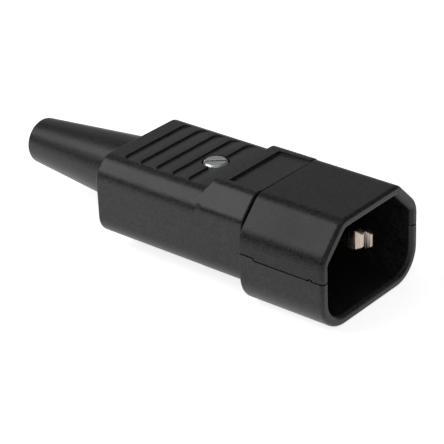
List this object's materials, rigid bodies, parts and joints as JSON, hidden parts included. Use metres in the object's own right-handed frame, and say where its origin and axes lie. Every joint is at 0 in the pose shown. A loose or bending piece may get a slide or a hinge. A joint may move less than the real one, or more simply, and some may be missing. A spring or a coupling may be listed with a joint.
{
  "type": "iec power plug",
  "caption": "In-line male power plug: a chamfered shroud around three flat pins, a ribbed grip held by one screw, and a tapered bend-relief boot.",
  "frame": {"origin": "centre of the shroud's rim, in the plane where its two halves meet", "axes": "+X out of the mating face along the pins, +Z towards the earth pin and the screw, +Y completes the frame"},
  "size_m": [0.0799, 0.0284, 0.0204],
  "materials": {
    "housing": "black moulded plastic with a fine satin texture",
    "boot": "black flexible boot, satin",
    "pins": "nickel-plated brass",
    "clamp": "black moulded plastic",
    "fasteners": "zinc-plated steel"
  },
  "bodies": {
    "root": {"upper_shroud": "housing", "lower_shroud": "housing", "rear_housing": "housing", "strain_relief_boot": "boot", "earth_pin": "pins", "live_pin": "pins", "neutral_pin": "pins", "cord_clamp_bar": "clamp", "cover_screw": "fasteners", "cover_nut": "fasteners", "live_terminal_screw": "fasteners", "neutral_terminal_screw": "fasteners", "earth_terminal_screw": "fasteners", "cord_clamp_screw_left": "fasteners", "cord_clamp_screw_right": "fasteners"}
  },
  "joints": []
}
